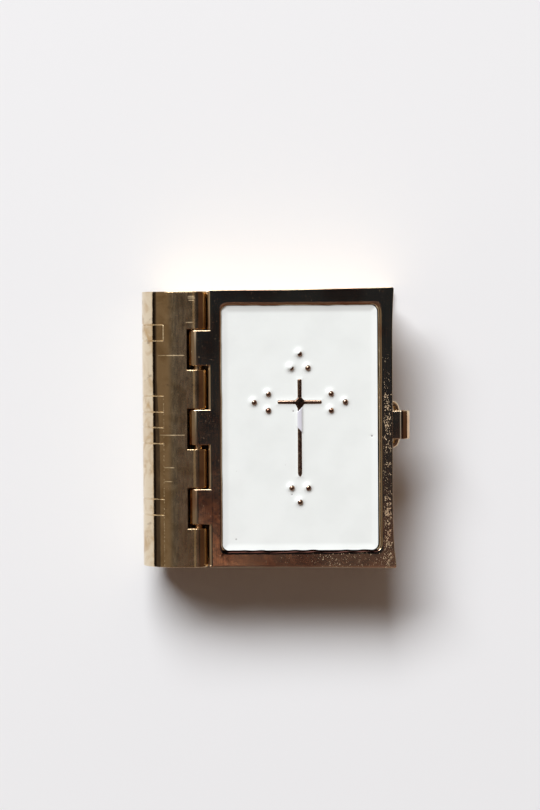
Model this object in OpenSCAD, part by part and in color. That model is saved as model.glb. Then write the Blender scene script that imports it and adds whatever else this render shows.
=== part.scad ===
// Miniature prayer book: a hinged, gilt-metal book case with an enamelled front cover,
// a snap clasp at the fore edge and a small sewn booklet inside.
// It lies on its back cover. +X runs from the spine to the fore edge, +Y to the head
// of the book and +Z out of the front cover. The origin is under the middle, on the ground.

/* [Case] */
// Height of the spine, from tail to head
case_h = 38; // [32:0.5:60]
// Width of the case, from the back of the spine to the fore edge of the covers
case_w = 34.7; // [28:0.1:50]
// How far the covers widen, at each end, from the hinge to the fore edge
corner_flare = 0.27; // [0:0.01:0.5]
// How far the middle of the covers' fore edge is hollowed between its corners
edge_hollow = 0.25; // [0.1:0.05:0.6]
// Thickness of the closed case
case_t = 11.5; // [9.5:0.1:16]
// Thickness of the back cover
back_t = 1.2; // [0.8:0.1:2]
// Thickness of the sheet that the spine is rolled from
sheet_t = 0.9; // [0.6:0.05:1.2]
// How far the spine stops short of the covers at the head
spine_short = 0.15; // [0:0.05:0.5]
// Radius that rounds the spine into the two covers
spine_round = 5.2; // [3:0.1:6]
// Thickness of the page-edge walls inside the covers
wall_t = 0.8; // [0.5:0.1:1.2]
// Distance from the edge of the covers in to the walls
wall_set = 1; // [0.6:0.1:2]
// Gap between the closed front cover and the walls
lid_gap = 0.15; // [0.1:0.05:0.4]
// Pitch of the fine grooves that stand for page edges
groove_pitch = 0.9; // [0.6:0.1:1.5]
// Depth of those grooves
groove_depth = 0.2; // [0.1:0.05:0.3]

/* [Hinge] */
// Distance from the back of the spine to the hinge pin
hinge_x = 7.8; // [6.5:0.1:9]
// Radius of the hinge barrel
barrel_r = 1.3; // [1.2:0.02:1.9]
// Radius of the hinge pin
pin_r = 0.6; // [0.4:0.05:0.8]
// Radial play of the pin in the front cover's fingers
pin_play = 0.04; // [0.01:0.01:0.1]
// How far each end of the pin lies inside the barrel
pin_inset = 0.1; // [0.05:0.05:0.5]
// Length of each finger of the front cover
finger_l = 4.85; // [3.5:0.05:6]
// Gap on the head side of each finger
finger_gap_head = 0.15; // [0.1:0.05:0.6]
// Gap on the tail side of each finger
finger_gap_tail = 0.55; // [0.1:0.05:0.8]
// Gap between a finger and the spine sheet behind it
notch_gap = 0.2; // [0.15:0.05:0.4]
// Gap between the barrel and the edge of the front cover
plate_gap = 0.13; // [0.08:0.01:0.3]

/* [Spine bands] */
// Distance between the two engraved lines of a pair
band_pitch = 2.2; // [1:0.1:3]
// Width of an engraved line
band_w = 0.16; // [0.1:0.02:0.3]
// Depth of an engraved line
band_depth = 0.08; // [0.04:0.02:0.2]

/* [Front cover] */
// Thickness of the front cover at its rim
plate_t = 1.6; // [1.2:0.1:2.4]
// Depth of the tray that holds the enamel
tray_depth = 1; // [0.7:0.05:1.1]
// Thickness of the enamel in the tray
enamel_t = 0.5; // [0.3:0.05:0.6]
// Width of the rim beside the hinge
rim_hinge = 1.84; // [1:0.02:3]
// Width of the rim at the fore edge
rim_fore = 2.28; // [1:0.02:3]
// Width of the rim at the head
rim_head = 2.17; // [1:0.01:3]
// Width of the rim at the tail
rim_tail = 2.27; // [1:0.01:3]
// Corner radius of the enamelled window
window_r = 0.9; // [0.4:0.1:2]

/* [Cross] */
// Height of the crossing above the middle of the window
cross_up = 3.55; // [1:0.05:5]
// Length from the crossing to the top of the upright
cross_top = 3.16; // [2:0.02:4]
// Length from the crossing to the foot of the upright
cross_foot = 10.24; // [6:0.02:11]
// Length from the crossing to the end of each arm
cross_arm = 3.04; // [2:0.02:4]
// Width of the bars of the cross
cross_bar = 0.6; // [0.4:0.05:1]
// Half the diagonal of the flared middle
cross_flare = 0.85; // [0.5:0.05:1.2]
// How far the cross stands above the enamel
relief_h = 0.2; // [0.1:0.05:0.3]
// Radius of each metal bead
bead_r = 0.45; // [0.3:0.05:0.6]
// Half the distance between the two near beads of a group
bead_pair = 1.14; // [0.8:0.02:1.4]
// Distance from the near beads out to the single bead
bead_step = 1.95; // [1.4:0.05:2.4]
// Distance from the ends of the upright to the near beads
bead_gap_end = 1.53; // [1:0.01:2]
// Distance from the ends of the arms to the near beads
bead_gap_side = 1.26; // [1:0.01:2]

/* [Clasp] */
// Distance of the clasp's middle above the middle of the case
clasp_y = 0.4; // [-3:0.1:3]
// Width of the clasp tab
tab_w = 3.9; // [2.5:0.1:5]
// Thickness of the clasp tab
tab_t = 0.65; // [0.4:0.05:0.7]
// Distance from the top of the cover down to the top of the tab
tab_drop = 0.25; // [0.1:0.05:0.4]
// Length of the tab that is brazed into the cover's edge
tab_seat = 0.9; // [0.4:0.1:1.2]
// Flat length of the tab outside the cover
tab_reach = 0.93; // [0.9:0.01:1.3]
// Outer radius of the bend in the tab
tab_bend = 1.22; // [1:0.02:1.5]
// Radius of the bump that snaps under the catch bar
nub_r = 0.47; // [0.3:0.01:0.5]
// Radius of the catch bar's wire
bar_r = 0.42; // [0.3:0.02:0.5]
// Distance between the two legs of the catch bar
bar_span = 5.7; // [4.5:0.1:8]
// How far the middle of the bar bows outwards
bar_bow = 0.3; // [0.1:0.05:0.6]
// Radius of the bends between the bar and its legs
bar_bend = 0.6; // [0.5:0.05:1]

/* [Booklet] */
// Clearance between the booklet and the walls
booklet_gap = 0.6; // [0.3:0.05:1.5]
// Thickness of the booklet's cover boards
board_t = 0.4; // [0.3:0.05:0.6]
// Thickness of the booklet's spine strip
strip_t = 0.35; // [0.2:0.05:0.5]
// How far the booklet's covers stand out past its pages
square_w = 0.3; // [0.1:0.05:0.6]
// Thickness of an endpaper
endpaper_t = 0.12; // [0.08:0.01:0.2]
// Clear height between the closed booklet and the front cover
headroom = 0.7; // [0.4:0.05:1]
// Thickness of each moving group of leaves
leaf_t = 0.2; // [0.1:0.02:0.24]
// Distance between neighbouring moving leaves
leaf_pitch = 0.3; // [0.28:0.01:0.36]
// Length of paper that bends beside the gutter
leaf_bend = 2.3; // [2:0.1:3]
// Distance from the booklet's spine strip to the line the leaves turn about
gutter_in = 0.4; // [0.3:0.05:0.8]

/* [Hidden] */
$fn = 64;
FINGERS = 3;
SECTIONS = 6;
LEAVES = 6;

GILT = "#b8965a";
GILT_DARK = "#8a7048";
ENAMEL = "#f2f3ee";
PAPER = "#efe6cf";
BOARD = "#5c1f24";
CLOTH = "#d8cdb2";

over = 0.01;                                  // length that a cut runs past a face
spine_flat = 0.6;                             // least flat between the spine's two rounds
spine_r = min(spine_round, (case_t - spine_flat) / 2);
overall_w = case_w + tab_reach + tab_bend;

// Hinge, in the case's own cross-section: x from the back of the spine, z from the ground
hinge_z = case_t - barrel_r;
plate_x = hinge_x + barrel_r + plate_gap;
plate_z = case_t - plate_t;
finger_room = finger_l + finger_gap_head + finger_gap_tail;
knuckle_l = (case_h - FINGERS * finger_room) / (FINGERS + 1);
spine_y0 = -case_h / 2;
spine_y1 = case_h / 2 - spine_short;

// Box between the covers
wall_top = plate_z - lid_gap;
web_clear = 0.15;                             // gap between the web and both of its neighbours
web_x = plate_x + web_clear;
wall_x = case_w - wall_set;
wall_y = case_h / 2 - wall_set;
room_x0 = web_x + wall_t;
room_x1 = wall_x - wall_t;
room_y = wall_y - wall_t;
cap_t = 0.8;
cap_inset = 0.3;

// Enamelled window in the front cover
window_x0 = plate_x + rim_hinge;
window_x1 = case_w - rim_fore;
window_y0 = -case_h / 2 + rim_tail;
window_y1 = case_h / 2 - rim_head;
tray_z = case_t - tray_depth;
enamel_z = tray_z + enamel_t;
cross_x = (window_x0 + window_x1) / 2;
cross_y = (window_y0 + window_y1) / 2 + cross_up;

// Clasp: the bump rests just under the bar and passes clear of it as the cover lifts
tab_top = case_t - tab_drop;
tab_x = case_w + tab_reach;
tab_low = 2.1;                                // length of the tab's upright part below the bend
tab_in_x = tab_x + tab_bend - tab_t;
nub_drop = 1.35;
bar_rise = 0.62;
nub_z = tab_top - tab_bend - nub_drop;
bar_x = tab_in_x - nub_r - bar_r;
bar_z = nub_z + bar_rise;

// Booklet
book_x0 = room_x0 + web_clear;
book_x1 = room_x1 - booklet_gap;
book_y = room_y - booklet_gap;
book_top = plate_z - headroom;
page_x0 = book_x0 + strip_t;
page_x1 = book_x1 - square_w;
page_y = book_y - square_w;
page_z0 = back_t + board_t + endpaper_t;
front_board_z = book_top - board_t;
leaves_z = front_board_z - LEAVES * leaf_pitch;
section_t = (leaves_z - page_z0) / SECTIONS;
gutter_x = page_x0 + gutter_in;
thread_r = 0.12;
lining_t = 0.12;

// y of the head end of finger i, counted from the head
function finger_y(i) = case_h / 2 - (i + 1) * knuckle_l - i * finger_room - finger_gap_head;

// Middles of the pairs of engraved lines, as shares of the case's height
BANDS = [for (share = [0.347, 0.09, -0.024, -0.283]) share * case_h];

// Moves the case's cross-section frame to the part's own origin
module placed() {
    translate([-overall_w / 2, 0, 0]) children();
}

// A section drawn in x and z, run along Y over the given length, about y = 0
module along_y(length) {
    rotate([90, 0, 0]) linear_extrude(height = length, center = true) children();
}

// A section drawn in x and z, run along Y from y0 to y1
module between_y(y0, y1) {
    translate([0, (y0 + y1) / 2, 0]) along_y(y1 - y0) children();
}

// A section drawn in y and z, run along X from x0 to x1
module along_x(x0, x1) {
    translate([x0, 0, 0]) rotate([90, 0, 90]) linear_extrude(height = x1 - x0) children();
}

// A box between two corners
module block(low, high) {
    translate(low) cube(high - low);
}

// Outline of the spine, shrunk by inset and reaching to the given x
module spine_outline(inset, reach) {
    intersection() {
        union() {
            translate([spine_r, spine_r]) circle(spine_r - inset);
            translate([spine_r, case_t - spine_r]) circle(spine_r - inset);
            translate([inset, spine_r]) square([spine_r - inset, case_t - 2 * spine_r]);
            translate([spine_r, inset]) square([reach, case_t - 2 * inset]);
        }
        square([reach, case_t]);
    }
}

// Outline of both covers from above: it flares to the fore edge, which is slightly hollow
module cover_outline() {
    fore_y = case_h / 2 + corner_flare;
    hollow_r = (fore_y * fore_y + edge_hollow * edge_hollow) / (2 * edge_hollow);
    difference() {
        polygon([
            [plate_x, -case_h / 2],
            [case_w, -fore_y],
            [case_w, fore_y],
            [plate_x, case_h / 2]
        ]);
        translate([case_w - edge_hollow + hollow_r, 0]) circle(hollow_r, $fn = 720);
    }
}

module barrel_circle(radius) {
    translate([hinge_x, hinge_z]) circle(radius);
}

// Back cover: a plain plate with one engraved border line underneath
module back_cover() {
    border_in = 2;
    border_w = 0.3;
    border_depth = 0.15;
    placed() color(GILT) difference() {
        linear_extrude(height = back_t) cover_outline();
        difference() {
            block([plate_x + border_in, -case_h / 2 + border_in, -over],
                  [case_w - border_in, case_h / 2 - border_in, border_depth]);
            block([plate_x + border_in + border_w, -case_h / 2 + border_in + border_w, -1],
                  [case_w - border_in - border_w, case_h / 2 - border_in - border_w, 1]);
        }
    }
}

// Spine: one rolled sheet that ends in four knuckles, notched for the cover's fingers
module spine_shell() {
    placed() color(GILT_DARK) difference() {
        between_y(spine_y0, spine_y1) difference() {
            union() {
                difference() {
                    spine_outline(0, plate_x);
                    spine_outline(sheet_t, plate_x + 1);
                    translate([hinge_x, case_t / 2]) square([plate_x, case_t]);
                }
                barrel_circle(barrel_r);
            }
            barrel_circle(pin_r);
        }
        for (i = [0 : FINGERS - 1])
            block([hinge_x - barrel_r - notch_gap, finger_y(i) - finger_l - finger_gap_tail,
                   hinge_z - barrel_r - 1],
                  [plate_x + 1, finger_y(i) + finger_gap_head, case_t + 1]);
        for (middle = BANDS, side = [-1, 1])
            translate([0, middle + side * band_pitch / 2, 0]) spine_groove();
    }
}

// One engraved line round the back of the spine
module spine_groove() {
    groove_end = 0.55 * spine_r;
    along_y(band_w) difference() {
        translate([-1, -1]) square([groove_end + 1, case_t + 2]);
        spine_outline(band_depth, plate_x);
    }
}

// Plate that closes one end of the hollow spine, cut away round the hinge barrel
module spine_cap(y0) {
    placed() color(GILT_DARK)
        between_y(y0, y0 + cap_t) difference() {
            spine_outline(sheet_t, web_x);
            barrel_circle(barrel_r);
            translate([hinge_x, hinge_z - barrel_r / 2]) square([plate_x, case_t]);
            translate([plate_x, -1]) square([1, back_t + 1]);
            translate([hinge_x + barrel_r, wall_top]) square([1, case_t]);
        }
}

module spine_cap_head() {
    spine_cap(spine_y1 - cap_inset - cap_t);
}

module spine_cap_tail() {
    spine_cap(spine_y0 + cap_inset);
}

// Strip between the spine and the pages, which the booklet is glued against
module inner_web() {
    placed() color(GILT_DARK)
        block([web_x, -room_y, back_t], [room_x0, room_y, wall_top]);
}

// Section of a page-edge wall: its outer face, at 0, has fine grooves like the edges of pages
module wall_section() {
    count = floor((wall_top - back_t) / groove_pitch) - 1;
    first = back_t + (wall_top - back_t - (count - 1) * groove_pitch) / 2;
    difference() {
        translate([-wall_t, back_t]) square([wall_t, wall_top - back_t]);
        for (k = [0 : count - 1])
            translate([0, first + k * groove_pitch]) polygon([
                [-groove_depth, 0],
                [over, groove_depth],
                [over, -groove_depth]
            ]);
    }
}

module head_wall() {
    placed() color(GILT) along_x(web_x, wall_x) translate([wall_y, 0]) wall_section();
}

module tail_wall() {
    placed() color(GILT) along_x(web_x, wall_x) mirror([1, 0]) translate([wall_y, 0]) wall_section();
}

module fore_edge_wall() {
    leg_r = bar_r;
    placed() color(GILT) difference() {
        along_y(2 * room_y) translate([wall_x, 0]) wall_section();
        for (side = [-1, 1])
            translate([room_x1 - 1, clasp_y + side * bar_span / 2, bar_z])
                rotate([0, 90, 0]) cylinder(r = leg_r, h = wall_t + 2);
    }
}

// Catch bar: a bowed wire staple whose legs pass through the fore-edge wall
module catch_bar() {
    half_chord = bar_span / 2 - bar_bend;
    half_turn = 2 * atan(bar_bow / half_chord);
    bow_r = half_chord / sin(half_turn) + bar_bend;
    bend_x = bar_x - bow_r + (bow_r - bar_bend) * cos(half_turn);
    placed() color(GILT) translate([0, clasp_y, bar_z]) {
        translate([bar_x - bow_r, 0, 0]) rotate([0, 0, -half_turn])
            rotate_extrude(angle = 2 * half_turn) translate([bow_r, 0]) circle(bar_r);
        for (side = [0, 1]) mirror([0, side, 0]) {
            translate([bend_x, half_chord, 0]) rotate([0, 0, half_turn])
                rotate_extrude(angle = 90 - half_turn) translate([bar_bend, 0]) circle(bar_r);
            translate([room_x1, bar_span / 2, 0])
                rotate([0, 90, 0]) cylinder(r = bar_r, h = bend_x - room_x1);
        }
    }
}

// Hinge pin, pressed into the spine's knuckles
module hinge_pin() {
    placed() color(GILT) between_y(spine_y0 + pin_inset, spine_y1 - pin_inset)
        barrel_circle(pin_r);
}

// Outline of the enamelled window, seen from above
module window_outline() {
    corners_x = [window_x0 + window_r, window_x1 - window_r];
    corners_y = [window_y0 + window_r, window_y1 - window_r];
    for (x = corners_x, y = corners_y)
        translate([x, y]) circle(window_r);
    translate([window_x0, corners_y[0]])
        square([window_x1 - window_x0, corners_y[1] - corners_y[0]]);
    translate([corners_x[0], window_y0])
        square([corners_x[1] - corners_x[0], window_y1 - window_y0]);
}

// Front cover: a tray with a raised rim and three hinge fingers
module front_cover() {
    placed() color(GILT) difference() {
        union() {
            translate([0, 0, plate_z]) linear_extrude(height = plate_t) cover_outline();
            for (i = [0 : FINGERS - 1])
                translate([0, finger_y(i) - finger_l / 2, 0]) along_y(finger_l) difference() {
                    union() {
                        barrel_circle(barrel_r);
                        translate([hinge_x, hinge_z])
                            square([plate_x - hinge_x + over, barrel_r]);
                    }
                    barrel_circle(pin_r + pin_play);
                }
        }
        translate([0, 0, tray_z]) linear_extrude(height = tray_depth + 1) window_outline();
        block([case_w - tab_seat, clasp_y - tab_w / 2, tab_top - tab_t],
              [case_w + 1, clasp_y + tab_w / 2, tab_top]);
    }
}

// Outline of the cross, with flared points between its bars
module cross_outline() {
    translate([-cross_bar / 2, -cross_foot]) square([cross_bar, cross_foot + cross_top]);
    translate([-cross_arm, -cross_bar / 2]) square([2 * cross_arm, cross_bar]);
    polygon([[cross_flare, 0], [0, cross_flare], [-cross_flare, 0], [0, -cross_flare]]);
}

// Places something at all twelve beads: three beyond each end of the cross
module at_beads() {
    ends = [
        [0, cross_arm + bead_gap_side],
        [90, cross_top + bead_gap_end],
        [180, cross_arm + bead_gap_side],
        [270, cross_foot + bead_gap_end]
    ];
    for (end = ends) rotate([0, 0, end[0]]) {
        for (side = [-1, 1]) translate([end[1], side * bead_pair, 0]) children();
        translate([end[1] + bead_step, 0, 0]) children();
    }
}

// Enamel, poured round the cross and the beads
module enamel_panel() {
    placed() color(ENAMEL) translate([0, 0, tray_z]) difference() {
        linear_extrude(height = enamel_t) window_outline();
        translate([cross_x, cross_y, -1]) {
            linear_extrude(height = enamel_t + 2) cross_outline();
            at_beads() cylinder(r = bead_r, h = enamel_t + 2);
        }
    }
}

module raised_cross() {
    placed() color(GILT) translate([cross_x, cross_y, tray_z])
        linear_extrude(height = enamel_t + relief_h) cross_outline();
}

module raised_beads() {
    placed() color(GILT) translate([cross_x, cross_y, tray_z]) at_beads() {
        cylinder(r = bead_r, h = enamel_t);
        translate([0, 0, enamel_t]) intersection() {
            sphere(r = bead_r);
            cylinder(r = bead_r, h = bead_r);
        }
    }
}

// Clasp tab: a strip bent down over the catch bar, with a snap bump inside its end
module clasp_tab() {
    bend_z = tab_top - tab_bend;
    placed() color(GILT) translate([0, clasp_y, 0]) along_y(tab_w) {
        translate([case_w - tab_seat, tab_top - tab_t]) square([tab_seat + tab_reach, tab_t]);
        translate([tab_x, bend_z]) difference() {
            circle(tab_bend);
            circle(tab_bend - tab_t);
            translate([-2 * tab_bend, -tab_bend]) square([2 * tab_bend, 2 * tab_bend]);
            translate([-tab_bend, -2 * tab_bend]) square([3 * tab_bend, 2 * tab_bend]);
        }
        translate([tab_in_x, bend_z - tab_low]) square([tab_t, tab_low]);
        intersection() {
            translate([tab_in_x, nub_z]) circle(nub_r);
            translate([tab_in_x - nub_r, nub_z - nub_r]) square([nub_r + tab_t / 2, 2 * nub_r]);
        }
    }
}

module booklet_back_board() {
    placed() color(BOARD)
        block([book_x0 + strip_t, -book_y, back_t], [book_x1, book_y, back_t + board_t]);
}

module booklet_spine_strip() {
    placed() color(BOARD)
        block([book_x0, -book_y, back_t], [book_x0 + strip_t, book_y, book_top]);
}

// Front board of the booklet, from the end of its bending joint to the fore edge
module booklet_front_board() {
    placed() color(BOARD)
        block([gutter_x + leaf_bend, -book_y, front_board_z], [book_x1, book_y, book_top]);
}

module back_endpaper() {
    placed() color(PAPER)
        block([page_x0, -page_y, back_t + board_t], [page_x1, page_y, page_z0]);
}

// Lining glued over the folds of the sections, between them and the spine strip
module spine_lining() {
    lining_y = 0.9 * page_y;
    placed() color(CLOTH)
        block([page_x0, -lining_y, page_z0], [page_x0 + lining_t, lining_y, leaves_z]);
}

// Folded section k, counted from the back: its folded edge is round
module page_section(k) {
    section_z = page_z0 + (k - 1) * section_t;
    fold_x = page_x0 + lining_t + 2 * thread_r;
    placed() color(PAPER) along_y(2 * page_y) {
        translate([fold_x + section_t / 2, section_z + section_t / 2]) circle(section_t / 2);
        translate([fold_x + section_t / 2, section_z])
            square([page_x1 - fold_x - section_t / 2, section_t]);
    }
}

// Three sewing stations, each a thread that runs over the folds
module sewing_threads() {
    station = page_y * 0.55;
    placed() color(CLOTH)
        for (y = [-station, 0, station])
            translate([page_x0 + lining_t + thread_r, y, page_z0])
                cylinder(r = thread_r, h = leaves_z - page_z0);
}

// Corded band across one end of the folds
module end_band(side) {
    band_l = 0.5;
    placed() color(BOARD)
        translate([page_x0 + thread_r + lining_t, side * (page_y - band_l / 2), page_z0])
            block([-thread_r, -band_l / 2, 0], [thread_r, band_l / 2, leaves_z - page_z0]);
}

module headband() {
    end_band(1);
}

module tailband() {
    end_band(-1);
}

// Moving leaf k, counted from the back, beyond the stretch that bends at the gutter
module leaf(k) {
    leaf_z = leaves_z + (k - 0.5) * leaf_pitch;
    placed() color(PAPER)
        block([gutter_x + leaf_bend, -page_y, leaf_z - leaf_t / 2],
              [page_x1, page_y, leaf_z + leaf_t / 2]);
}

back_cover();
spine_shell();
spine_cap_head();
spine_cap_tail();
inner_web();
head_wall();
tail_wall();
fore_edge_wall();
catch_bar();
hinge_pin();
front_cover();
enamel_panel();
raised_cross();
raised_beads();
clasp_tab();
booklet_back_board();
booklet_spine_strip();
booklet_front_board();
back_endpaper();
spine_lining();
sewing_threads();
headband();
tailband();
for (k = [1 : SECTIONS])
    page_section(k);
for (k = [1 : LEAVES])
    leaf(k);
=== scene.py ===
"""Miniature prayer book: a gilt-metal case with a hinged, enamelled front cover and a snap clasp,
and a small sewn booklet inside. The sections follow the order in which the real one is put together."""

import bmesh
import bpy
import numpy as np
from mathutils import Matrix, Vector


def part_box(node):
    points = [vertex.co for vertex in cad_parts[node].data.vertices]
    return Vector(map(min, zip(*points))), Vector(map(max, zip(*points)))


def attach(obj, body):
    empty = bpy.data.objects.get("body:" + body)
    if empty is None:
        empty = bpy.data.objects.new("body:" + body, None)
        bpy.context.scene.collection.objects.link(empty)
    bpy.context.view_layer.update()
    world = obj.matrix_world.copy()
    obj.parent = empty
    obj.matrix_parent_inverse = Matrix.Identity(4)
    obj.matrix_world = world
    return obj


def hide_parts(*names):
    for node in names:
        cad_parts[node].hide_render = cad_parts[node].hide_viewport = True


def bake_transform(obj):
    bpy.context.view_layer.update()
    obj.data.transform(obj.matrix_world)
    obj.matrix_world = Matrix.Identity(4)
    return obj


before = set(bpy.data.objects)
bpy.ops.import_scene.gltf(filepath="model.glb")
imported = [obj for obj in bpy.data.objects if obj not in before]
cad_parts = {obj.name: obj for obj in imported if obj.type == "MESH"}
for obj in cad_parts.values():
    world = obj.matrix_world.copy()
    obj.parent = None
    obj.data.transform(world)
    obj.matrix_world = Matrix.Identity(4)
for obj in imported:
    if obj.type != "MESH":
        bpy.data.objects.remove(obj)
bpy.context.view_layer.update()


# ---------- back cover
# Plain gilt brass plate that the whole book lies on. It is cut from sheet, its edges are eased,
# its fore edge is slightly hollow with drawn-out corners, and one border line is cut underneath.

MM = 0.001
SMOOTH_ANGLE = np.radians(40)
EASED_R = 0.15
CORNER_R = 0.3
BORDER_IN = 2.0
BORDER_W = 0.3
BORDER_DEPTH = 0.12
FLAT_RING = 0.6


def span(node):
    """Lowest and highest corner of a node, in millimetres."""
    low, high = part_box(node)
    return np.array(low) / MM, np.array(high) / MM


def quads(rows, columns, wrap_rows, wrap_columns):
    """Corner numbers of the faces between neighbouring points of a grid, which closes on itself
    where it wraps: each point is joined to the next in its row and its column."""
    i = np.arange(rows if wrap_rows else rows - 1)[:, None]
    j = np.arange(columns if wrap_columns else columns - 1)[None, :]
    below, beside = (i + 1) % rows, (j + 1) % columns
    corners = [i * columns + j, i * columns + beside, below * columns + beside, below * columns + j]
    return np.stack(corners, axis=-1).reshape(-1, 4)


def together(*parts):
    """Coordinates worked out apart, stretched to the same shape and put together as points."""
    return np.stack(np.broadcast_arrays(*parts), axis=-1)


def make_piece(name, grids, body, material):
    """One object from grids of points in millimetres. Each grid is (points, wraps along rows,
    wraps along columns). Points that meet are merged, and the closed shells turned outwards."""
    points, faces, first = [], [], 0
    for grid, wrap_rows, wrap_columns in grids:
        rows, columns = grid.shape[:2]
        points.append(grid.reshape(-1, 3) * MM)
        faces.append(quads(rows, columns, wrap_rows, wrap_columns) + first)
        first += rows * columns
    mesh = bpy.data.meshes.new(name)
    mesh.from_pydata(np.concatenate(points), [], np.concatenate(faces).tolist())
    shell = bmesh.new()
    shell.from_mesh(mesh)
    bmesh.ops.remove_doubles(shell, verts=shell.verts, dist=0.0005 * MM)
    bmesh.ops.recalc_face_normals(shell, faces=shell.faces)
    shell.to_mesh(mesh)
    shell.free()
    mesh.shade_smooth()
    mesh.set_sharp_from_angle(angle=SMOOTH_ANGLE)
    mesh.materials.append(material)
    piece = bpy.data.objects.new(name, mesh)
    bpy.context.scene.collection.objects.link(piece)
    if body:
        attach(piece, body)
    return piece


def keep_faces_flat(piece):
    """Lets each large face keep its own direction beside small eased edges."""
    piece.modifiers.new("flat_faces", "WEIGHTED_NORMAL").keep_sharp = True


def rounded_loop(low_x, high_x, low_y, high_y, radius, side=90, corner=8):
    """Closed loop of points round a rectangle, anticlockwise from above: four quarter circles,
    and evenly spaced points along the straight sides between them."""
    turn = np.linspace(0, np.pi / 2, corner + 1)
    step = np.linspace(0, 1, side + 2)[1:-1, None]
    centre_x = [high_x - radius, low_x + radius, low_x + radius, high_x - radius]
    centre_y = [high_y - radius, high_y - radius, low_y + radius, low_y + radius]
    arcs = []
    for quarter in range(4):
        angle = turn + quarter * np.pi / 2
        arcs.append(together(centre_x[quarter] + radius * np.cos(angle),
                             centre_y[quarter] + radius * np.sin(angle)))
    loop = []
    for quarter in range(4):
        begin, end = arcs[quarter][-1], arcs[(quarter + 1) % 4][0]
        loop += [arcs[quarter], begin + (end - begin) * step]
    return np.concatenate(loop)


def at_height(loop, z):
    """A flat loop of points, lifted to height z."""
    return together(loop[:, 0], loop[:, 1], z)


def gathered(loop):
    """The same number of points, all at the middle of the loop: the pole of a closed surface."""
    return np.broadcast_to(loop.mean(axis=0), loop.shape)


back_low, back_high = span("back_cover")
spine_low, spine_high = span("spine_shell")
plate_x, fore_x = back_low[0], back_high[0]
head_y = -spine_low[1]
FLARE = back_high[1] - head_y
FLARE_START = 0.36
FORE_MIDDLE = 0.22
SWING_HEAD, SWING_TAIL = 0.25, 0.48
HOLLOW_END = 12.0


def cover_loop(inset, hinge_inset=None):
    """Outline of a cover, drawn in by inset: a rectangle whose head and tail edges swing out
    towards the fore corners, and whose fore edge is straight and then curves out to them."""
    if hinge_inset is None:
        hinge_inset = inset
    radius = max(CORNER_R - inset, 0.02)
    x, y = rounded_loop(plate_x + hinge_inset, fore_x - inset, inset - head_y, head_y - inset, radius).T
    across = (x - plate_x) / (fore_x - plate_x)
    swing = np.clip((across - FLARE_START) / (1 - FLARE_START), 0, 1) ** 1.2
    corner = np.clip((np.abs(y) - HOLLOW_END) / (head_y - HOLLOW_END), 0, 1) ** 2
    drawn_out = np.where(y > 0, SWING_HEAD, SWING_TAIL) * corner - FORE_MIDDLE
    near_fore = np.clip(across * 2 - 1, 0, 1) ** 2
    return together(x + drawn_out * near_fore, y * (1 + FLARE / head_y * swing))


def eased(steps=4):
    """Quarter circle that eases an edge: how far each ring lies in from the edge, and how far
    below the face, both as shares of its radius."""
    angle = np.linspace(0, np.pi / 2, steps + 1)
    return list(zip(1 - np.sin(angle), 1 - np.cos(angle)))


def add(tree, kind, inputs=None, **settings):
    """Adds a node to a material and gives its first output. Inputs are numbers or outputs."""
    node = tree.nodes.new("ShaderNode" + kind)
    for key, value in settings.items():
        setattr(node, key, value)
    for key, value in (inputs or {}).items():
        if isinstance(value, bpy.types.NodeSocket):
            tree.links.new(value, node.inputs[key])
        else:
            node.inputs[key].default_value = value
    return node.outputs[0]


def new_finish(name, **constants):
    """A material with one Principled shader. The constants are that shader's own sockets, with
    underscores for spaces."""
    material = bpy.data.materials.new(name)
    material.use_nodes = True
    tree = material.node_tree
    shader = tree.nodes["Principled BSDF"]
    for key, value in constants.items():
        shader.inputs[key.replace("_", " ")].default_value = value
    return material, tree, shader


def noise(tree, size, detail=2.0, stretch=(1, 1, 1), distortion=0.0):
    """Soft random values from 0 to 1 whose blotches are about size millimetres across, longer
    by stretch along each axis."""
    place = tree.nodes.new("ShaderNodeTexCoord").outputs["Object"]
    scaled = add(tree, "Mapping", {"Vector": place, "Scale": [1 / s for s in stretch]})
    return add(tree, "TexNoise", {"Vector": scaled, "Scale": 1 / (size * MM), "Detail": detail,
                                  "Distortion": distortion})


def fade(tree, value, begin, end, low=0.0, high=1.0):
    """Low below begin, high above end, and a smooth change between."""
    return add(tree, "MapRange", {"Value": value, "From Min": begin, "From Max": end, "To Min": low,
                                  "To Max": high}, interpolation_type="SMOOTHSTEP")


def blended(tree, share, first, second):
    """Colour that goes from the first to the second as share goes from 0 to 1."""
    node = tree.nodes.new("ShaderNodeMix")
    node.data_type = "RGBA"
    for socket, value in ((node.inputs[0], share), (node.inputs[6], first), (node.inputs[7], second)):
        if isinstance(value, bpy.types.NodeSocket):
            tree.links.new(value, socket)
        else:
            socket.default_value = value
    return node.outputs[2]


def combined(tree, operation, values):
    """Values or outputs taken together by one operation, from the first to the last."""
    total = values[0]
    for value in values[1:]:
        total = add(tree, "Math", {0: total, 1: value}, operation=operation)
    return total


def times(tree, *values):
    """The product of the values."""
    return combined(tree, "MULTIPLY", values)


def plus(tree, *values):
    """The sum of the values."""
    return combined(tree, "ADD", values)


def finished(tree, shader, colour=None, roughness=None, height=None, depth=0.0):
    """Gives the shader its colour and roughness, and bumps its surface by height, of which 1 is
    depth millimetres."""
    if colour:
        tree.links.new(colour, shader.inputs["Base Color"])
    if roughness:
        tree.links.new(roughness, shader.inputs["Roughness"])
    if height:
        bump = add(tree, "Bump", {"Height": height, "Distance": depth * MM})
        tree.links.new(bump, shader.inputs["Normal"])


GILT = (0.78, 0.60, 0.39, 1)
GILT_RED = (0.60, 0.36, 0.22, 1)
GILT_TARNISH = (0.36, 0.24, 0.15, 1)


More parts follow.
